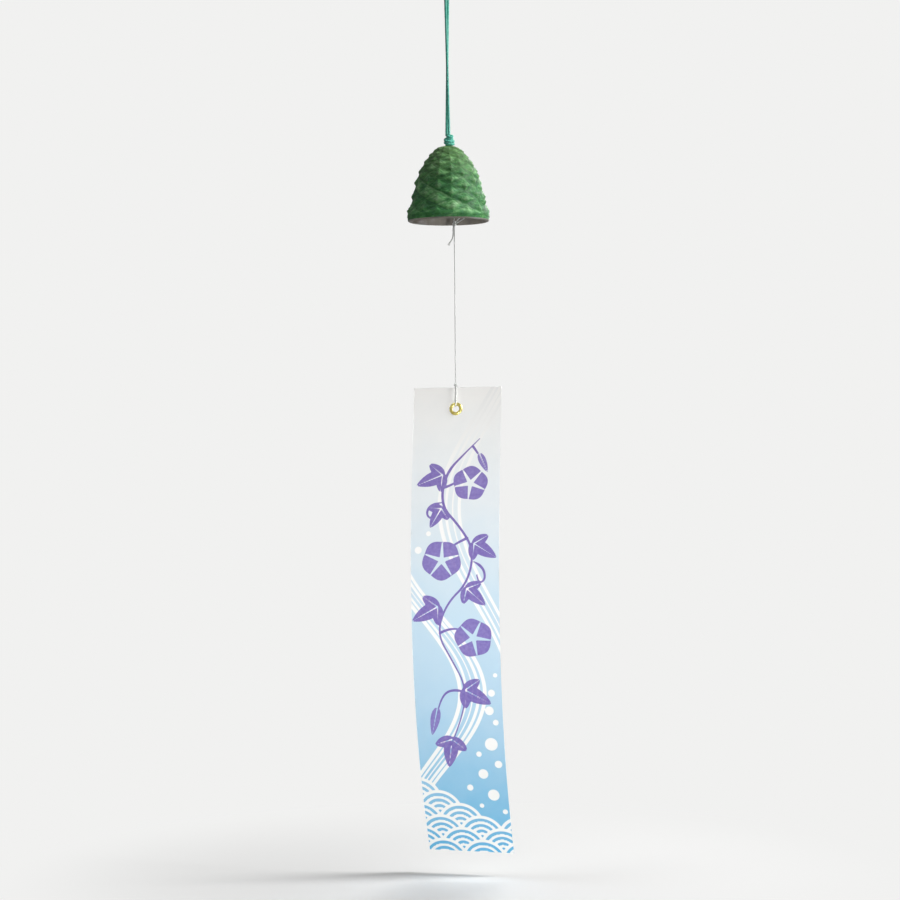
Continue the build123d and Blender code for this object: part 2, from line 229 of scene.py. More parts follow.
def makeFibres(name, look, constants):  # filaments that slant round each yarn, over a cloudy colour
    material, shader = newMaterial(name, constants)
    yarn = addNode(material, "Attribute", attribute_name="yarn")
    parts = addNode(material, "SeparateXYZ", {0: yarn.outputs["Vector"]})
    angle = addNode(material, "Math", {0: parts.outputs[1], 1: parts.outputs[0]}, operation="ARCTAN2")
    lay = addNode(material, "Math", {0: parts.outputs[2], 1: look["lay"]}, operation="MULTIPLY")
    slant = addNode(material, "Math", {0: angle.outputs[0], 1: look["starts"], 2: lay.outputs[0]},
                    operation="MULTIPLY_ADD")
    fibre = addNode(material, "Math", {0: slant.outputs[0]}, operation="SINE")
    place = addNode(material, "TexCoord")
    patch = addNode(material, "TexNoise", {"Vector": place.outputs["Object"], "Scale": perMm(look["patch"]),
                                           "Detail": look["detail"]})
    tone = addNode(material, "Math", {0: fibre.outputs[0], 1: look["streak"], 2: patch.outputs[0]},
                   operation="MULTIPLY_ADD")
    colour = addNode(material, "ValToRGB", {0: tone.outputs[0]}, stops=look["stops"])
    bump = addNode(material, "Bump", {"Strength": look["strength"], "Distance": look["depth"] * mm,
                                      "Height": fibre.outputs[0]})
    wire(material, colour.outputs[0], shader.inputs["Base Color"])
    wire(material, bump.outputs[0], shader.inputs["Normal"])
    return material


# braided polyester: bright filaments with a soft sheen, drawn every 0.7 mm so that they show
cordLook = {  # the lay is in radians per mm, and the starts are the filaments round a yarn
    "lay": 9.0, "starts": 3.0, "streak": 0.12, "patch": 2.4, "detail": 3.0, "strength": 0.5, "depth": 0.06,
    "stops": [(0.25, "#3cbda5"), (0.8, "#92e8d6"), (0.5, "#66d8c2")],
}
cordMaterial = makeFibres("braided polyester cord", cordLook, {
    "Roughness": 0.48, "IOR": 1.55, "Sheen Weight": 0.25, "Sheen Tint": fromHex("#aef5e2")})

# bleached cotton thread: matt, a little grey in the lay, and so thin that light soaks through it;
# its fibres are drawn every 0.45 mm so that they show
threadLook = {
    "lay": 14.0, "starts": 2.0, "streak": 0.1, "patch": 1.5, "detail": 2.0, "strength": 0.3, "depth": 0.02,
    "stops": [(0.25, "#dde2de"), (0.75, "#f2f4f0")],
}
threadMaterial = makeFibres("twisted cotton thread", threadLook, {
    "Roughness": 0.85, "Sheen Weight": 0.2, "Subsurface Weight": 0.6, "Subsurface Radius": (1, 1, 1),
    "Subsurface Scale": 0.001})


# camera, light and floor

shot = {"place": (-0.0004, -1.55, -0.323), "roll": 0.5, "focal": 91.2, "sensor": 36.0, "clip": (0.05, 30)}
camera = bpy.data.cameras.new("camera")
camera.lens = shot["focal"]
camera.sensor_width = shot["sensor"]
camera.clip_start, camera.clip_end = shot["clip"]
cameraHolder = bpy.data.objects.new("camera", camera)
cameraHolder.location = shot["place"]
cameraHolder.rotation_euler = (math.radians(90), math.radians(shot["roll"]), 0)
bpy.context.scene.collection.objects.link(cameraHolder)
bpy.context.scene.camera = cameraHolder
bpy.context.scene.view_settings.view_transform = "Standard"

studio = {"paper": "#f1f1f0", "ambient": 0.05, "bounce": 0.08, "mirrored": 0.3}
lamps = [  # name, place, height that it is aimed at, size, spread in degrees, watts
    ("keyLamp", (1.15, -0.25, 0.55), -0.26, 0.5, 180, 21.0),
    ("fillLamp", (0.7, -1.5, -0.45), -0.35, 1.0, 180, 1.3),
    ("lowLamp", (0.3, -1.72, -0.54), -0.44, 0.15, 22, 0.46),
    ("topLamp", (-0.55, -0.1, 1.1), -0.14, 0.4, 180, 2.2),
    ("backLamp", (0.5, 1.3, 0.1), -0.3, 0.9, 180, 14.0),
]
for name, place, aim, size, spread, power in lamps:
    lamp = bpy.data.lights.new(name, "AREA")
    lamp.shape = "DISK"
    lamp.size = size
    lamp.spread = math.radians(spread)
    lamp.energy = power
    holder = bpy.data.objects.new(name, lamp)
    holder.location = place
    holder.rotation_euler = (Vector((0, 0, aim)) - Vector(place)).to_track_quat("-Z", "Y").to_euler()
    bpy.context.scene.collection.objects.link(holder)


# full to the camera and through glass, lower in gloss, and least as light on the object
def seenLevel(owner, least):
    ray = addNode(owner, "LightPath")
    seen = addNode(owner, "Math", {0: ray.outputs["Is Camera Ray"], 1: ray.outputs["Is Transmission Ray"]},
                   operation="MAXIMUM")
    mirrored = addNode(owner, "Math", {0: ray.outputs["Is Glossy Ray"], 1: studio["mirrored"]},
                       operation="MULTIPLY")
    seen = addNode(owner, "Math", {0: seen.outputs[0], 1: mirrored.outputs[0]}, operation="MAXIMUM")
    level = addNode(owner, "MapRange", {"Value": seen.outputs[0], "To Min": least, "To Max": 1.0})
    return level.outputs[0]


world = bpy.data.worlds.new("studio")
world.use_nodes = True
bpy.context.scene.world = world
backdrop = world.node_tree.nodes["Background"]
backdrop.inputs["Color"].default_value = fromHex(studio["paper"])
wire(world, seenLevel(world, studio["ambient"]), backdrop.inputs["Strength"])

# white paper sweep: it takes the shadow under the tag and fades into the backdrop further out
sweep = {"height": -0.612, "radius": 3.0, "segments": 96, "colour": "#f0f0ef", "fade": (0.05, 0.32)}
floorMaterial, floorShader = newMaterial("white paper sweep", {
    "Base Color": fromHex(sweep["colour"]), "Roughness": 0.9})
floorPlace = addNode(floorMaterial, "TexCoord")
floorSpot = addNode(floorMaterial, "VectorMath", {0: floorPlace.outputs["Object"], 1: (1, 1, 0)},
                    operation="MULTIPLY")
floorAway = addNode(floorMaterial, "VectorMath", {0: floorSpot.outputs[0]}, operation="LENGTH")
fadeFrom, fadeTo = sweep["fade"]
floorFade = addNode(floorMaterial, "MapRange", {"Value": floorAway.outputs["Value"], "From Min": fadeFrom,
                                                "From Max": fadeTo}, interpolation_type="SMOOTHSTEP")
floorGlow = addNode(floorMaterial, "Emission", {"Color": fromHex(studio["paper"]),
                                                "Strength": seenLevel(floorMaterial, studio["bounce"])})
floorMix = addNode(floorMaterial, "MixShader", {0: floorFade.outputs[0], 1: floorShader.outputs[0],
                                                2: floorGlow.outputs[0]})
wire(floorMaterial, floorMix.outputs[0], floorMaterial.node_tree.nodes["Material Output"].inputs["Surface"])
floorMesh = bpy.data.meshes.new("floor")
shape = bmesh.new()
bmesh.ops.create_circle(shape, cap_ends=True, segments=sweep["segments"], radius=sweep["radius"],
                        matrix=Matrix.Translation((0, 0, sweep["height"])))
shape.to_mesh(floorMesh)
shape.free()
floor = addObject("floor", floorMesh, floorMaterial)
print("camera, lamps and floor set")


# the hanging cord: up from the crown knot, over the hook and back, crossing itself once

hangingCord = {
    "route": [(0.9, -0.95, -109.4), (-0.95, -0.95, -14.6), (-0.95, -0.95, -10.8), (-3.111, -3.111, -5.4),
              (-3.111, -3.111, 0.9), (3.111, 3.111, 0.9), (3.111, 3.111, -5.4), (0.95, 0.95, -10.8),
              (0.95, 0.95, -14.6), (-0.9, 0.95, -109.4)],
    "leaves": (0.0009, -0.00095, -0.1076), "length": 0.226, "diameter": 0.0018,
}
cordLine = readRoute(hangingCord["route"])
hanging = yarnPiece("hangingCord", braidYarns(cordLine), cordMaterial)
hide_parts("hanging_loop", "hanging_cord")
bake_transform(hanging)
print("hanging cord", round(float(runAlong(cordLine)[-1]), 4), "m")

# an overhand knot: the cord comes in at the top left, swings a lobe round the front to the right,
# goes round once more below it and leaves at the foot
knotRoute = [(-0.6, 0.0, 4.6), (-1.5, -0.7, 3.2), (-0.6, -2.7, 1.6), (2.3, -2.6, 0.7), (3.7, 0.3, 2.2),
             (2.0, 2.7, 2.9), (-1.3, 2.8, 1.0), (-3.3, -0.2, -0.9), (-1.8, -3.2, -2.3), (2.2, -3.0, -2.6),
             (3.9, 0.2, -1.9), (1.2, 3.1, -2.4), (-1.6, 1.0, -3.4), (0.0, 0.0, -5.0)]


# the knot's route at a size, once or as two strands
def knotLines(centre, size, apart=0.0, flat=1.0, flare=0.0):
    lines = []
    for side in ((1, -1) if apart else (0,)):
        points = []
        for k, (x, y, z) in enumerate(knotRoute):
            ease = min(1.0, k / 2, (len(knotRoute) - 1 - k) / 2)  # two strands meet again at both ends
            wide = size * (1 - flare * z)  # wider towards its foot
            points.append((centre[0] + x * wide, centre[1] + y * wide,
                           centre[2] + (z * size + side * apart * ease) * flat))
        lines.append(readRoute(points, 12))
    return lines


def knotYarns(knot, layYarns, make):  # the knot tied in cord or in thread
    yarns = []
    for line in knotLines(**knot):
        yarns += layYarns(line, make)
    return yarns


crownKnot = {"centre": (0.6, 0, -112.4), "size": 0.84, "apart": 0.9, "flare": 0.07}
crownYarns = knotYarns(crownKnot, braidYarns, cordMake)
crown = yarnPiece("crownKnot", crownYarns, cordMaterial)
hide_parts("crown_knot")
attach(crown, "crown")

stopKnot = {"centre": (0, 0, -123.1), "size": 1.0, "apart": 0.85, "flat": 0.72}
strandRoutes = [  # the two strands through the crown, each with its cut end
    [(0.95, 0, -115.6), (0.95, 0, -117.5), (0.95, 0, -121.0)],
    [(0, 0.9, -124.8), (0.1, 1.3, -128.6), (0.3, 3.0, -132.0), (0.5, 3.3, -135.3)],
    [(-0.95, 0, -115.6), (-0.95, 0, -117.5), (-0.95, 0, -121.0)],
    [(0, -0.9, -124.8), (0.1, -1.3, -128.6), (-0.3, -3.0, -132.0), (-0.5, -3.3, -135.3)],
]
stopYarns = knotYarns(stopKnot, braidYarns, cordMake)
for route in strandRoutes:
    stopYarns += braidYarns(readRoute(route))
stop = yarnPiece("stopKnot", stopYarns, cordMaterial)
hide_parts("stop_knot", "bore_cord", "cord_ends")
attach(stop, "crown")
print("cord knots tied")


# the threads: hitch, clapper thread, knots, bow, tail, tag thread and its loop

threadX = 3.8
tieZ = -169.64
thickThread = dict(threadMake, ply=0.24, middle=0.2)
frayedThread = dict(threadMake, fray=3.4)


def hangRoute(points, fromHeight=0.0):  # a route given from the thread's own line
    return readRoute([(threadX + x, y, fromHeight + z) for x, y, z in points])


hitch = {"radius": 3.8, "height": -125.27, "turns": 2, "pitch": 0.35, "points": 12, "bite": 0.1}
# the line runs inside its points, and the thread bites a little into the knot
hitchReach = hitch["radius"] / math.cos(math.pi / hitch["points"]) - hitch["bite"]
hitchPoints = []
for k in range(hitch["points"] * hitch["turns"] + 1):
    angle = 2 * math.pi * k / hitch["points"]
    lift = hitch["pitch"] * (k / hitch["points"] - hitch["turns"] / 2)
    hitchPoints.append((hitchReach * math.cos(angle), hitchReach * math.sin(angle), hitch["height"] + lift))
hitchPiece = yarnPiece("threadHitch", twistYarns(readRoute(hitchPoints, 8)), threadMaterial)
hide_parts("thread_hitch")
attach(hitchPiece, "crown")

clapperLine = hangRoute([(0, 0, -125.4), (0.05, 0.03, -146.0), (0, 0, tieZ)])
clapperThread = yarnPiece("clapperThread", twistYarns(clapperLine), threadMaterial)
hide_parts("clapper_thread")

discKnotMake = {"centre": (threadX, 0, -161.35), "size": 0.3}
discKnot = yarnPiece("clapperKnot", knotYarns(discKnotMake, twistYarns, threadMake), threadMaterial)
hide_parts("clapper_knot")

tieKnotMake = {"centre": (threadX, 0, tieZ + 0.7), "size": 0.34, "flat": 1.5}
tieKnot = yarnPiece("tieKnot", knotYarns(tieKnotMake, twistYarns, thickThread), threadMaterial)
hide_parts("tie_knot")

bowRoute = [(0.1, -0.2, 0.1), (1.6, -0.5, 2.2), (4.3, -0.7, 4.7), (6.3, -0.3, 6.5), (7.9, 0.1, 4.6),
            (5.2, -0.3, 2.9), (2.4, -0.4, 1.0), (0.2, -0.2, -0.2)]
bowLine = hangRoute(bowRoute, tieZ)
knotBow = yarnPiece("knotBow", twistYarns(bowLine, thickThread), threadMaterial)
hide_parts("knot_bow")

tailRoute = [(-0.3, -0.3, -0.2), (-0.9, -0.4, -1.8), (-0.75, -0.3, -6.0), (-1.1, -0.3, -9.5),
             (-2.6, -0.3, -11.8), (-4.0, -0.3, -14.0)]
knotTail = yarnPiece("knotTail", twistYarns(hangRoute(tailRoute, tieZ), frayedThread), threadMaterial)
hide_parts("knot_tail")
for piece in (clapperThread, discKnot, tieKnot, knotBow, knotTail):
    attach(piece, "clapper")

tagLine = hangRoute([(0, 0, tieZ), (0.12, 0.05, -224.0), (0, 0, -278.94)])
tagThread = yarnPiece("tagThread", twistYarns(tagLine), threadMaterial)
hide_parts("tag_thread")
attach(tagThread, "thread")

loopKnotMake = {"centre": (threadX, 0, -278.9), "size": 0.28, "flat": 0.75}
loopKnot = yarnPiece("loopKnot", knotYarns(loopKnotMake, twistYarns, thickThread), threadMaterial)
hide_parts("loop_knot")
loopRoute = [(3.95, -0.5, -279.0), (4.0092, -1.3478, -280.4), (3.861, -2.6012, -286.2017),
             (3.72, -3.75, -290.9), (3.6451, -4.2677, -292.9884), (4.0927, -1.5376, -293.673),
             (4.17, -0.9, -291.5), (4.3086, 0.1289, -286.8863), (4.34, 1.55, -281.0), (4.0, 0.7, -279.0)]
tagLoop = yarnPiece("tagLoop", twistYarns(readRoute(loopRoute), thickThread), threadMaterial)
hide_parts("tag_loop")
for piece in (loopKnot, tagLoop):
    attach(piece, "loop")
print("threads hung")


# the bell

bell = {  # radii and heights from the mouth in mm
    "mouth": -167.8403, "foot": (26.9, 4.2), "lean": 13.5, "side": 22.4, "arcs": [(47.0, 31.5), (10.5, 38.0)],
    "wall": 3.2, "ceilingTurn": 45.0, "bore": 2.4, "row": 0.4, "innerRow": 1.2, "steps": 324,
    "band": [(28.05, 3.3), (28.1, 2.8), (27.75, 2.5), (27.7, 2.1), (27.6, 0.8), (27.3, 0.25), (26.8, 0.0)],
    "bandGap": 0.1, "bandPainted": 4, "lip": (0.35, 0.3), "flare": (3.6, 11.0, 1.3),
}


def wallLine(start, lean, side, arcs, step):  # a straight flank and two arcs, from the mouth up
    heading = math.radians(90 + lean)
    line = [start]
    count = max(2, round(side / step))
    for k in range(1, count + 1):
        far = side * k / count
        line.append((start[0] + far * math.cos(heading), start[1] + far * math.sin(heading)))
    for radius, turn in arcs:
        r, h = line[-1]
        count = max(2, round(radius * math.radians(turn) / step))
        for k in range(1, count + 1):
            t = math.radians(turn) * k / count
            line.append((r + radius * (math.sin(heading + t) - math.sin(heading)),
                         h - radius * (math.cos(heading + t) - math.cos(heading))))
        heading += math.radians(turn)
    return line


outer = wallLine(bell["foot"], bell["lean"], bell["side"], bell["arcs"], bell["row"])
lean = math.radians(bell["lean"])
wall = bell["wall"]
innerFoot = (bell["foot"][0] - wall * math.cos(lean), bell["foot"][1] - wall * math.sin(lean))
(sideRadius, sideTurn), (crownRadius, _) = bell["arcs"]
innerArcs = [(sideRadius - wall, sideTurn), (crownRadius - wall, bell["ceilingTurn"])]
inner = wallLine(innerFoot, bell["lean"], bell["side"], innerArcs, bell["innerRow"])
mouthRadius = innerFoot[0] + innerFoot[1] * math.tan(lean)
flareFrom, flareTo, flareOut = bell["flare"]  # the foot of the wall swings out to the rim
outer = [(r + flareOut * max(0.0, (flareTo - h) / (flareTo - flareFrom)) ** 2, h) for r, h in outer]
outside = [p for p in outer if p[1] > bell["band"][0][1] + bell["bandGap"]]
crownTop = (bell["bore"], outer[-1][1])
lipOut, lipUp = bell["lip"]
lip = [(mouthRadius + lipOut, 0.0), (mouthRadius, lipUp)]
profile = [crownTop] + outside[::-1] + bell["band"] + lip + inner + [(bell["bore"], inner[-1][1])]
outsideFrom, outsideTo = 1, len(outside)
bareFrom = 1 + len(outside) + bell["bandPainted"]  # the foot of the rim takes the paler bare iron

shape = bmesh.new()
ring = [shape.verts.new((r * mm, 0, (bell["mouth"] + h) * mm)) for r, h in profile]
edges = [shape.edges.new((ring[k - 1], ring[k])) for k in range(len(ring))]
bmesh.ops.spin(shape, geom=ring + edges, cent=(0, 0, 0), axis=(0, 0, 1), angle=2 * math.pi,
               steps=bell["steps"], use_merge=True)
bmesh.ops.remove_doubles(shape, verts=shape.verts, dist=1e-6)
bmesh.ops.recalc_face_normals(shape, faces=shape.faces)

# each scale is a four-sided point with a keel, on a staggered lattice, its tip a little below the middle
scales = {  # in mm and degrees; the two shuffles only scatter heights and tints from scale to scale
    "columns": 16, "turn": 5.5, "pitch": 0.2, "lastRow": 0.6, "relief": 1.55, "sink": 0.1, "apex": -0.5,
    "keel": (0.55, 0.35), "hollow": (0.012, 0.05), "nested": (2.5, 0.07),
    "wander": 0.13, "wanderSize": 5.5, "seed": 3, "uneven": 0.22, "heightShuffle": (12.9, 78.2),
    "tint": 0.5, "tintShuffle": (53.7, 31.4), "bandTop": 3.7, "bandShade": -0.4,
    "crownFade": 4.0, "footFade": (3.4, 3.2), "fadedTone": 0.35, "insideTone": 0.25,
    "grit": 0.12, "grains": [(2.6, 1.0), (1.3, 1.0), (0.6, 0.5)],  # size in mm and share of each grain
}
outerSpots = np.array(outer)
wallRun = runAlong(outerSpots)
wallRadius = outerSpots[:, 0]
rowPlaces = [0.0]
while rowPlaces[-1] < wallRun[-1] - scales["lastRow"]:
    rowPlaces.append(rowPlaces[-1] + scales["pitch"] * float(np.interp(rowPlaces[-1], wallRun, wallRadius)))
slope = np.gradient(outerSpots, axis=0)
slope /= np.linalg.norm(slope, axis=1)[:, None]
spots = np.array([v.co[:] for v in shape.verts]) / mm
reach = np.hypot(spots[:, 0], spots[:, 1])
height = spots[:, 2] - bell["mouth"]


def nearestOn(line):  # the point of a wall line that each vertex is nearest to
    away = (reach[:, None] - line[None, :, 0]) ** 2 + (height[:, None] - line[None, :, 1]) ** 2
    return np.argmin(away, axis=1)


nearest = nearestOn(np.array(profile))
outerNearest = nearestOn(outerSpots)
turned = np.arctan2(spots[:, 1], spots[:, 0])
column = (np.degrees(turned) - scales["turn"]) / (360 / scales["columns"])
row = np.interp(wallRun[outerNearest], rowPlaces, np.arange(len(rowPlaces)))
noise.seed_set(scales["seed"])  # else the wander would change from run to run
drifts = [noise.noise_vector(Vector(p) / scales["wanderSize"])[:2] for p in spots]
wander = np.array(drifts) * scales["wander"]
column = column + wander[:, 0]
row = row + wander[:, 1]
cellA = (column + row) / 2
cellB = (column - row) / 2
scalesRound = scales["columns"] // 2  # a scale has the same number on both sides of the seam
scaleA = np.floor(cellA) % scalesRound
scaleB = np.floor(cellB) % scalesRound
tintA, tintB = scales["tintShuffle"]
tint = scales["tint"] * np.sin(tintA * scaleA + tintB * scaleB)
# painted shade: the rim band below bandTop gets a darker tint
tint = np.where(height > scales["bandTop"], tint, scales["bandShade"])
shuffleA, shuffleB = scales["heightShuffle"]
scaleHeight = 1 - scales["uneven"] * (0.5 + 0.5 * np.sin(shuffleA * scaleA + shuffleB * scaleB))
offA = cellA - np.floor(cellA) - 0.5
offB = cellB - np.floor(cellB) - 0.5
across = np.abs(offA + offB)
up = offA - offB
apex = scales["apex"]
point = np.minimum((1 - across - up) / (1 - apex), (1 - across + up) / (1 + apex)) * scaleHeight
keelHeight, keelWidth = scales["keel"]  # a ridge runs down the middle of each scale to its tip
point = point * (1 + keelHeight * np.maximum(0, 1 - across / keelWidth))
soften, lower = scales["hollow"]  # hollows a little rounded, as sand leaves them
point = np.sqrt(point ** 2 + soften) - lower
rings, ringDepth = scales["nested"]  # fine chevrons inside each scale
point = point + ringDepth * np.sin(2 * math.pi * rings * point)
footFrom, footOver = scales["footFade"]
fade = np.clip((wallRun[-1] - wallRun[outerNearest]) / scales["crownFade"], 0, 1)
fade = fade * np.clip((height - footFrom) / footOver, 0, 1)
isOutside = (nearest >= outsideFrom) & (nearest <= outsideTo)
lift = scales["relief"] * wallRadius[outerNearest] / bell["foot"][0] * (point - scales["sink"]) * fade
lift = np.where(isOutside, lift, 0.0)
# relief sets how far the lacquer paints shade into the hollows and pales the tips
relief = np.clip(point, 0, 1) * fade + scales["fadedTone"] * (1 - fade)
relief = np.where(isOutside, relief, scales["insideTone"])
for vert, k, rise, angle in zip(shape.verts, outerNearest, lift, turned):
    grit = sum(share * noise.noise(vert.co * perMm(size)) for size, share in scales["grains"])
    rise = rise + scales["grit"] * grit
    out, along = slope[k][1], -slope[k][0]
    vert.co += Vector((rise * out * math.cos(angle), rise * out * math.sin(angle), rise * along)) * mm
nearestOf = dict(zip(shape.verts, nearest))
for face in shape.faces:
    face.smooth = True
    face.material_index = 1 if min(nearestOf[v] for v in face.verts) >= bareFrom else 0
bellMesh = bpy.data.meshes.new("bell")
shape.to_mesh(bellMesh)
shape.free()
for name, values in (("relief", relief), ("tint", tint)):
    mark = bellMesh.attributes.new(name, "FLOAT", "POINT")
    mark.data.foreach_set("value", values.astype(np.float32))


# sand-cast iron under green lacquer: the hollows darkened, partly as dark finish and partly as painted shade;
# the tips paler and browner, partly as wear and partly as painted highlight; more olive towards the crown;
# bluish patches of painted reflection
lacquer = {"stretch": (1, 1, 2.2), "ownTint": 0.18, "tipWearAndHighlight": 0.5, "crownRagged": 0.02}


def makeLacquer():
    material, shader = newMaterial("green lacquered cast iron", {"IOR": 1.5, "Specular IOR Level": 0.36})
    place = addNode(material, "TexCoord").outputs["Object"]
    streak = addNode(material, "VectorMath", {0: place, 1: lacquer["stretch"]}, operation="MULTIPLY")
    cloud = addNode(material, "TexNoise", {"Vector": streak.outputs[0], "Scale": perMm(6.5), "Detail": 5.0,
                                           "Roughness": 0.62})
    own = addNode(material, "Attribute", attribute_name="tint")  # each scale took the brush its own way
    mixed = addNode(material, "Math", {0: own.outputs["Fac"], 1: lacquer["ownTint"], 2: cloud.outputs[0]},
                    operation="MULTIPLY_ADD")
    colour = addNode(material, "ValToRGB", {0: mixed.outputs[0]},
                     stops=[(0.36, "#31703a"), (0.85, "#b2d7aa"), (0.5, "#4b914e"), (0.63, "#7ab775")])
    # painted reflection: bluish patches where this noise is high; the same noise varies the roughness
    sheen = addNode(material, "TexNoise", {"Vector": streak.outputs[0], "Scale": perMm(3.6), "Detail": 5.0})
    reflectionPatch = addNode(material, "MapRange", {"Value": sheen.outputs[0], "From Min": 0.5, "From Max": 0.7,
                                          "To Max": 0.36})
    paintedReflection = addNode(material, "Mix", {0: reflectionPatch.outputs[0], 6: colour.outputs[0], 7: fromHex("#5f9479")},
                     data_type="RGBA")
    mark = addNode(material, "Attribute", attribute_name="relief")
    # painted shade: the hollows between the scales are darkened, partly the dark finish that gathers there
    # and partly shade
    hollow = addNode(material, "MapRange", {"Value": mark.outputs["Fac"], "From Min": 0.02, "From Max": 0.26,
                                            "To Min": 0.8, "To Max": 0.0})
    hollowShade = addNode(material, "Mix", {0: hollow.outputs[0], 6: paintedReflection.outputs[2], 7: fromHex("#0b2a1a")},
                   data_type="RGBA")
    # the paler tips are partly wear and partly a painted highlight where the ridges catch light
    tipNoise = addNode(material, "TexNoise", {"Vector": place, "Scale": perMm(1.2), "Detail": 3.0})
    tip = addNode(material, "Math", {0: mark.outputs["Fac"], 1: lacquer["tipWearAndHighlight"], 2: tipNoise.outputs[0]},
                  operation="MULTIPLY_ADD")
    wearAndHighlight = addNode(material, "MapRange", {"Value": tip.outputs[0], "From Min": 0.78, "From Max": 1.0,
                                          "To Max": 0.35})
    finish = addNode(material, "Mix", {0: wearAndHighlight.outputs[0], 6: hollowShade.outputs[2], 7: fromHex("#86a07c")},
                     data_type="RGBA")
    # more olive towards the crown, its edge made ragged by the cloud
    parts = addNode(material, "SeparateXYZ", {0: place})
    crownBlend = addNode(material, "Math", {0: cloud.outputs[0], 1: lacquer["crownRagged"], 2: parts.outputs[2]},
                   operation="MULTIPLY_ADD")
    crownTone = addNode(material, "MapRange", {"Value": crownBlend.outputs[0], "From Min": -0.135, "From Max": -0.1,
                                               "To Max": 0.28})
    topped = addNode(material, "Mix", {0: crownTone.outputs[0], 6: finish.outputs[2], 7: fromHex("#8c9454")},
                     data_type="RGBA")
    rough = addNode(material, "MapRange", {"Value": sheen.outputs[0], "From Min": 0.3, "From Max": 0.7,
                                           "To Min": 0.48, "To Max": 0.7})
    wire(material, topped.outputs[2], shader.inputs["Base Color"])
    wire(material, rough.outputs[0], shader.inputs["Roughness"])
    addGrain(material, shader, place, scale=perMm(0.55), detail=3.0, strength=0.5, depth=0.25 * mm)
    return material


def makeMetal(name, look, constants):  # a cloudy colour and a grained skin
    material, shader = newMaterial(name, constants)
    place = addNode(material, "TexCoord").outputs["Object"]
    cloud = addNode(material, "TexNoise", {"Vector": place, "Scale": perMm(look["cloud"]),
                                           "Detail": look["cloudDetail"]})
    colour = addNode(material, "ValToRGB", {0: cloud.outputs[0]}, stops=look["stops"])
    wire(material, colour.outputs[0], shader.inputs["Base Color"])
    if "tarnish" in look:
        bright, dull = look["tarnish"]
        rough = addNode(material, "MapRange", {"Value": cloud.outputs[0], "To Min": bright, "To Max": dull})
        wire(material, rough.outputs[0], shader.inputs["Roughness"])
    addGrain(material, shader, place, scale=perMm(look["grain"]), detail=look["grainDetail"],
             strength=look["strength"], depth=look["depth"] * mm)
    return material


# the bare inside of the casting: grey-brown scale with a sandy skin
bareIron = makeMetal("bare cast iron", {
    "cloud": 9.0, "cloudDetail": 5.0, "stops": [(0.3, "#8c8a84"), (0.75, "#c6c4c2"), (0.52, "#aca499")],
    "grain": 0.6, "grainDetail": 3.0, "strength": 0.5, "depth": 0.2}, {"Roughness": 0.75})
bellPiece = addObject("bell", bellMesh, makeLacquer(), bareIron)
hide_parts("bell_body")
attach(bellPiece, "bell")
print("bell cast:", len(bellMesh.polygons), "faces")


# clapper and eyelet keep their solids

# blackened cast disc: dark, matt, a few paler rubs
blackIron = makeMetal("blackened cast iron", {
    "cloud": 4.0, "cloudDetail": 5.0, "stops": [(0.35, "#2b2927"), (0.75, "#57504a")],
    "grain": 0.5, "grainDetail": 3.0, "strength": 0.4, "depth": 0.1}, {"Roughness": 0.6, "Metallic": 0.3})

# pressed brass: bright, with fine marks of the press and a little tarnish
brass = makeMetal("pressed brass", {
    "cloud": 2.0, "cloudDetail": 4.0, "stops": [(0.3, "#d8c258"), (0.7, "#f8ec9a")], "tarnish": (0.26, 0.44),
    "grain": 0.25, "grainDetail": 2.0, "strength": 0.12, "depth": 0.03}, {"Metallic": 0.7})

for node, material in (("clapper", blackIron), ("eyelet", brass), ("eyelet_washer", brass)):
    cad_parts[node].data.materials.clear()
    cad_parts[node].data.materials.append(material)
print("clapper and eyelet finished")


# the paper tag and its print

tag = {  # the eyelet's place, three directions at it and the curl are the solid's own
    "width": 60.0, "length": 322.0, "thickness": 0.3, "cells": (88, 474),
    "eyelet": (3.8, -3.41547, -295.108), "eyeletSide": -1.0, "eyeletDrop": 15.0,
    "hole": 2.88, "holeCut": 0.35, "holePull": 0.2, "holeEdge": 0.05,
    "across": (0.987106, -0.159876, 0.007854), "up": (0.030882, 0.238357, 0.970687),
    "front": (-0.157062, -0.957928, 0.240221),
    "curlStart": 62.7, "curlEnd": 298.04, "curlRadius": 387.0, "slant": -14.6, "facing": 0.3, "crease": 0.8,
}
shape = bmesh.new()
bmesh.ops.create_grid(shape, x_segments=tag["cells"][0], y_segments=tag["cells"][1], size=0.5)
flat = np.array([v.co[:2] for v in shape.verts])
acrossMm = flat[:, 0] * tag["width"]
downMm = (0.5 - flat[:, 1]) * tag["length"]

# the hole under the eyelet: cells inside it go, and the next ones are drawn to its edge
leastMm = 0.01
away = np.hypot(acrossMm - tag["eyeletSide"], downMm - tag["eyeletDrop"])
inHole = away < tag["hole"] - tag["holeCut"]
edge = (away < tag["hole"] + tag["holePull"]) & (away > leastMm)
push = np.where(edge, (tag["hole"] + tag["holeEdge"]) / np.maximum(away, leastMm), 1.0)
acrossMm = tag["eyeletSide"] + (acrossMm - tag["eyeletSide"]) * push
downMm = tag["eyeletDrop"] + (downMm - tag["eyeletDrop"]) * push

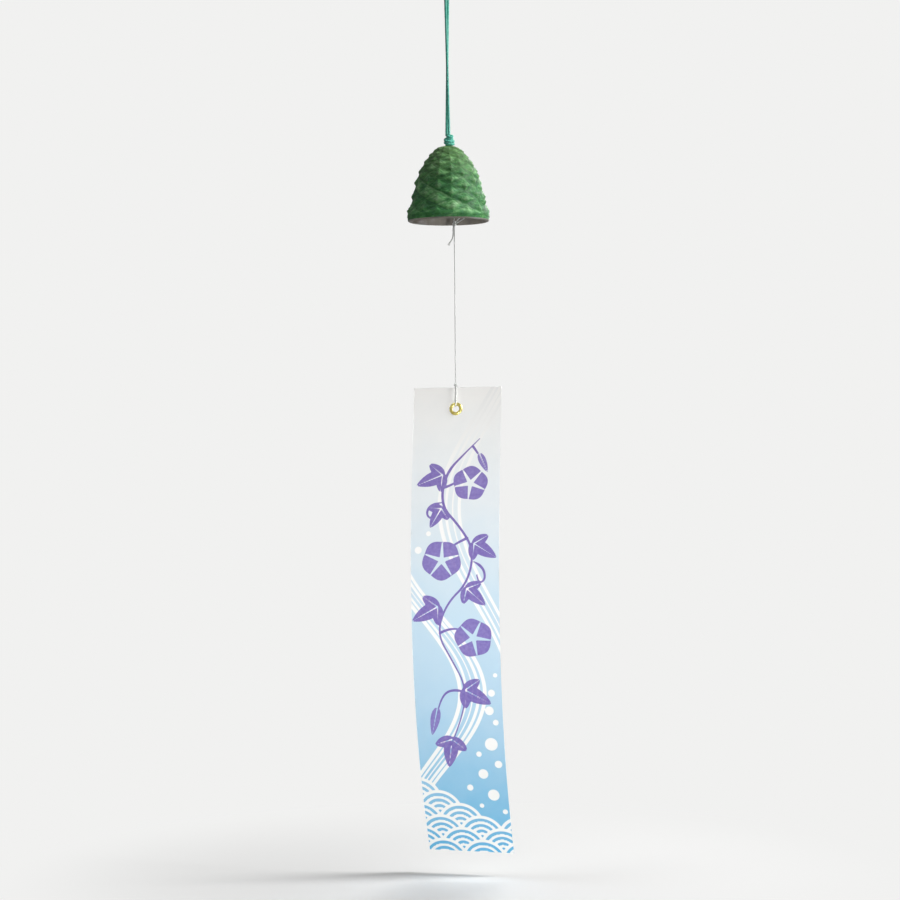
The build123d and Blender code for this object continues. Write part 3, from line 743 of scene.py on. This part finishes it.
# flat at the top, then rolled back along a slant, as such strips hang
slantCos = math.cos(math.radians(tag["slant"]))
slantSin = math.sin(math.radians(tag["slant"]))
along = downMm * slantCos + acrossMm * slantSin
beside = acrossMm * slantCos - downMm * slantSin
bend = np.maximum(0, np.minimum(along, tag["curlEnd"]) - tag["curlStart"]) / tag["curlRadius"]
past = np.maximum(0, along - tag["curlEnd"])
run = np.minimum(along, tag["curlStart"]) + tag["curlRadius"] * np.sin(bend) + past * np.cos(bend)
back = tag["curlRadius"] * (1 - np.cos(bend)) + past * np.sin(bend)
places = (np.array(tag["eyelet"])[None, :]
          + (beside * slantCos + run * slantSin - tag["eyeletSide"])[:, None] * np.array(tag["across"])
          + (beside * slantSin - run * slantCos + tag["eyeletDrop"])[:, None] * np.array(tag["up"])
          - (back - tag["thickness"] / 2)[:, None] * np.array(tag["front"]))
for vert, place in zip(shape.verts, places):
    vert.co = place * mm

# the print, as distances in mm to the edge of each shape, below zero inside it
farOff = 99.0
stream = {
    "bands": [(-40.0, 206.0, 40.0, -44.0, 4, 3.6),  # from, to, across at the ends, swing, lines, spacing
              (108.0, 306.0, -42.0, 52.0, 5, 3.4)],
    "spread": (0.75, 0.5), "width": (0.55, 0.45), "vary": 1.7, "least": 0.35, "beyond": 9.0,
}
fans = {"radius": 16.5, "ring": 4.1, "white": 2.2, "places": [
    (-33, 284), (-19, 293), (-33, 302), (-5, 302), (-19, 311), (9, 311), (37, 311), (-33, 320), (-5, 320),
    (23, 320), (-19, 329), (9, 329), (37, 329)]}
drops = [  # across, down, radius
    (23, 208, 2.4), (21, 220, 3.0), (25, 228, 2.0), (21, 243, 4.4), (12, 250, 1.9), (25, 257, 2.6),
    (14, 264, 3.4), (4, 274, 2.2), (20, 279, 4.0), (27, 291, 1.8), (11, 287, 1.6), (-25, 112, 2.4),
    (-18, 101, 1.7), (26, 196, 1.5)]
vine = {"width": 1.5, "taper": ((0, 0.12, 1), (0.2, 0.6, 0.3)), "routes": [
    [(16, 36), (6, 46), (-7, 60), (-10, 82), (3, 96), (13, 112), (9, 134), (-6, 148), (-13, 168), (-3, 186),
     (6, 204), (2, 226), (-7, 244)],
    [(-8.5, 70), (-2, 68), (4, 64)], [(9, 104), (2, 107), (-6, 112)], [(-11.5, 168), (-3, 163), (6, 166)],
    [(4, 207), (-4, 205), (-12, 211), (-15, 222)], [(-9, 80), (-17, 81), (-20, 88), (-15, 92), (-13, 87)],
    [(12.5, 120), (19, 123), (21, 132), (16, 135), (15, 129)], [(11, 41), (14, 45), (17, 50)]]}
leaves = {
    "places": [(-9, 61, -68, 19), (13, 108, 58, 18), (-12, 150, -62, 20), (8, 138, 48, 17), (5, 206, 62, 20),
               (-6, 240, -10, 20), (-9.5, 84, -30, 15)],  # across, down, heading from straight down, length
    "lobes": [(0, 1.0, 0.5, 0.6), (62, 0.62, 0.38, 0.7), (-62, 0.62, 0.38, 0.7)], "tone": 0.15,
}
buds = {"places": [(-15, 219, -14, 19, 6.5), (16, 47, 24, 14, 5.0)], "swell": 0.6, "tone": 0.7}
flowers = {
    "places": [(10, 67, 11.5, 0.2), (-9, 119, 13.0, 0.9), (12, 171, 12.5, 0.5)],  # across, down, radius, turn
    "petals": 5, "wave": 0.045, "star": (1.25, 0.3), "heart": 1.9, "tip": 0.93, "tone": (0.75, 0.35),
    "margin": 0.8,
}
brush = {"points": 13, "round": 0.8, "least": 0.1, "rib": (0.42, 0.12), "margin": 0.3}


def strokeEdge(line, radii):  # how far each point of the paper is from the edge of a brush stroke
    best = np.full(len(acrossMm), farOff)
    for k in range(len(line) - 1):
        ax, ay = line[k]
        bx, by = line[k + 1][0] - ax, line[k + 1][1] - ay
        t = np.clip(((acrossMm - ax) * bx + (downMm - ay) * by) / (bx * bx + by * by), 0, 1)
        far = np.hypot(acrossMm - ax - t * bx, downMm - ay - t * by) - (radii[k] * (1 - t) + radii[k + 1] * t)
        best = np.minimum(best, far)
    return best


white = np.full(len(acrossMm), farOff)
for first, last, ends, swing, count, spacing in stream["bands"]:
    t = np.clip((downMm - first) / (last - first), 0, 1)
    tilt = 1 / np.sqrt(1 + (swing * math.pi / (last - first) * np.sin(2 * math.pi * t)) ** 2)
    middle = ends + swing * np.sin(math.pi * t) ** 2
    spread = stream["spread"][0] + stream["spread"][1] * np.sin(math.pi * t)
    for k in range(count):
        shift = (k - (count - 1) / 2) * spacing * spread
        width = stream["width"][0] + stream["width"][1] * math.cos(k * stream["vary"])
        reach = width * np.sin(math.pi * t) ** 0.5 + stream["least"]
        line = np.abs(acrossMm - middle - shift) * tilt - reach
        line = np.where((downMm < first) | (downMm > last), stream["beyond"], line)
        white = np.minimum(white, line)
for x, y, radius in drops:
    white = np.minimum(white, np.hypot(acrossMm - x, downMm - y) - radius)
for x, y in fans["places"]:
    far = np.hypot(acrossMm - x, downMm - y)
    ripple = np.abs((fans["radius"] - far) % fans["ring"] - fans["white"] / 2) - fans["white"] / 2
    white = np.where(far < fans["radius"], ripple, np.minimum(white, far - fans["radius"]))

inkEdge = np.full(len(acrossMm), farOff)
inkTone = np.zeros(len(acrossMm))


# a brush mark that starts thin, swells and ends in a point, and the rib down its middle
def petalStroke(x, y, heading, length, width, swell):
    way = math.radians(heading)
    t = np.linspace(0, 1, brush["points"])
    line = [(x + math.sin(way) * length * k, y + math.cos(way) * length * k) for k in t]
    radii = width / 2 * np.sin(math.pi * t ** swell) ** brush["round"] + brush["least"]
    return strokeEdge(line, radii), strokeEdge(line, np.linspace(*brush["rib"], brush["points"]))


for route in vine["routes"]:
    line = readRoute([(x, y, 0) for x, y in route], 12)[:, :2] / mm
    taper = np.interp(np.linspace(0, 1, len(line)), *vine["taper"])
    inkEdge = np.minimum(inkEdge, strokeEdge(line, taper * vine["width"]))
for x, y, heading, length in leaves["places"]:  # three lobes, each with a bare rib
    leaf = np.full(len(acrossMm), farOff)
    ribs = np.full(len(acrossMm), farOff)
    for turn, long, wide, swell in leaves["lobes"]:  # long and wide are shares of the leaf's length
        lobe, rib = petalStroke(x, y, heading + turn, length * long, length * wide, swell)
        leaf = np.minimum(leaf, lobe)
        ribs = np.minimum(ribs, rib)
    leaf = np.maximum(leaf, -ribs)
    inkTone = np.where(leaf < brush["margin"], leaves["tone"], inkTone)
    inkEdge = np.minimum(inkEdge, leaf)
for x, y, heading, length, width in buds["places"]:
    bud, rib = petalStroke(x, y, heading, length, width, buds["swell"])
    inkTone = np.where(bud < brush["margin"], buds["tone"], inkTone)
    inkEdge = np.minimum(np.maximum(inkEdge, -bud), np.maximum(bud, -rib))
petals = flowers["petals"]
starWidth, starLeast = flowers["star"]
heartTone, toneFall = flowers["tone"]
for x, y, radius, turn in flowers["places"]:  # an open trumpet from the front, with its rayed star left bare
    far = np.hypot(acrossMm - x, downMm - y)
    angle = np.arctan2(downMm - y, acrossMm - x) + turn
    rim = far - radius * (1 + flowers["wave"] * np.cos(petals * angle))
    ray = np.abs((angle * petals / (2 * math.pi)) % 1.0 - 0.5) * 2 * math.pi / petals
    star = far * np.sin(ray) - (starWidth * (1 - far / radius) + starLeast)
    star = np.minimum(star, far - flowers["heart"])
    rayTip = far - radius * flowers["tip"]
    flower = np.maximum(rim, -np.maximum(star, rayTip))
    inkTone = np.where(rim < flowers["margin"], heartTone - toneFall * far / radius, inkTone)
    inkEdge = np.minimum(np.maximum(inkEdge, -rim), flower)

bmesh.ops.recalc_face_normals(shape, faces=shape.faces)
layers = {name: shape.verts.layers.float.new(name) for name in ("whiteEdge", "inkEdge", "inkTone")}
paperPlace = shape.verts.layers.float_vector.new("paperMm")
for k, vert in enumerate(shape.verts):
    vert[layers["whiteEdge"]] = white[k]
    vert[layers["inkEdge"]] = inkEdge[k]
    vert[layers["inkTone"]] = inkTone[k]
    vert[paperPlace] = (acrossMm[k], downMm[k], 0)
bmesh.ops.delete(shape, geom=[v for v, gone in zip(shape.verts, inHole) if gone], context="VERTS")
front = Vector(tag["front"])
if shape.faces[:][0].normal.dot(front) < 0:
    bmesh.ops.reverse_faces(shape, faces=shape.faces)
bmesh.ops.solidify(shape, geom=shape.faces[:], thickness=tag["thickness"] * mm)
shape.normal_update()
for face in shape.faces:
    face.smooth = True
    face.material_index = 0 if face.normal.dot(front) > tag["facing"] else 1
for cut in shape.edges:
    cut.smooth = cut.calc_face_angle(0) < tag["crease"]
tagMesh = bpy.data.meshes.new("paperTag")
shape.to_mesh(tagMesh)
shape.free()


def overprint(material, below, edgeName, soft, cover, ink):  # one ink of the print over what lies below it
    edge = addNode(material, "Attribute", attribute_name=edgeName)
    inside = addNode(material, "MapRange", {"Value": edge.outputs["Fac"], "From Min": soft, "From Max": -soft,
                                            "To Max": cover})
    laid = addNode(material, "Mix", {0: inside.outputs[0], 6: below, 7: ink}, data_type="RGBA")
    return laid.outputs[2]


paperLook = {"soak": 0.06, "drift": 0.05, "brush": 0.5, "wet": 0.5, "tooth": 1.6}  # scales are per mm


# uncoated art paper, printed: matt, a faint tooth, ink that soaks in unevenly
def makePrintedPaper():
    material, shader = newMaterial("printed art paper", {"Roughness": 0.85, "Specular IOR Level": 0.3})
    place = addNode(material, "Attribute", attribute_name="paperMm").outputs["Vector"]
    parts = addNode(material, "SeparateXYZ", {0: place})
    soak = addNode(material, "TexNoise", {"Vector": place, "Scale": paperLook["soak"], "Detail": 4.0})
    drift = addNode(material, "MapRange", {"Value": soak.outputs[0], "To Min": -paperLook["drift"],
                                           "To Max": paperLook["drift"]})
    down = addNode(material, "Math", {0: parts.outputs[1], 1: 1 / tag["length"], 2: drift.outputs[0]},
                   operation="MULTIPLY_ADD")
    wash = addNode(material, "ValToRGB", {0: down.outputs[0]},
                   stops=[(0.02, "#f7f6f3"), (1.0, "#61b0da"), (0.24, "#dfe5e8"), (0.46, "#c3d8e5"),
                          (0.68, "#b0cfe3"), (0.9, "#80bbdc")])
    foam = overprint(material, wash.outputs[0], "whiteEdge", 0.12, 1.0, fromHex("#f1f1ef"))
    toneMark = addNode(material, "Attribute", attribute_name="inkTone")
    brushed = addNode(material, "TexNoise", {"Vector": place, "Scale": paperLook["brush"], "Detail": 4.0})
    wet = addNode(material, "Math", {0: toneMark.outputs["Fac"], 1: paperLook["wet"], 2: brushed.outputs[0]},
                  operation="MULTIPLY_ADD")
    ink = addNode(material, "ValToRGB", {0: wet.outputs[0]}, stops=[(0.35, "#6a52a5"), (0.95, "#8677ba")])
    finish = overprint(material, foam, "inkEdge", 0.1, 0.94, ink.outputs[0])
    wire(material, finish, shader.inputs["Base Color"])
    addGrain(material, shader, place, scale=paperLook["tooth"], detail=4.0, strength=0.12, depth=0.1 * mm)
    return material


# the same paper's bare back: the print shows through it faintly
def makePaperBack():
    material, shader = newMaterial("art paper back", {"Roughness": 0.88, "Specular IOR Level": 0.3})
    place = addNode(material, "Attribute", attribute_name="paperMm").outputs["Vector"]
    parts = addNode(material, "SeparateXYZ", {0: place})
    down = addNode(material, "Math", {0: parts.outputs[1], 1: 1 / tag["length"]}, operation="MULTIPLY")
    through = addNode(material, "ValToRGB", {0: down.outputs[0]}, stops=[(0.1, "#efefec"), (1.0, "#d9e8ee")])
    foam = overprint(material, through.outputs[0], "whiteEdge", 0.3, 0.5, fromHex("#f0f0ed"))
    ghost = overprint(material, foam, "inkEdge", 0.4, 0.16, fromHex("#7f70b4"))
    wire(material, ghost, shader.inputs["Base Color"])
    addGrain(material, shader, place, scale=paperLook["tooth"], detail=4.0, strength=0.15, depth=0.1 * mm)
    return material


paper = addObject("paperTag", tagMesh, makePrintedPaper(), makePaperBack())
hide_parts("paper_tag")
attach(paper, "tag")
print("paper tag printed:", len(tagMesh.polygons), "faces")
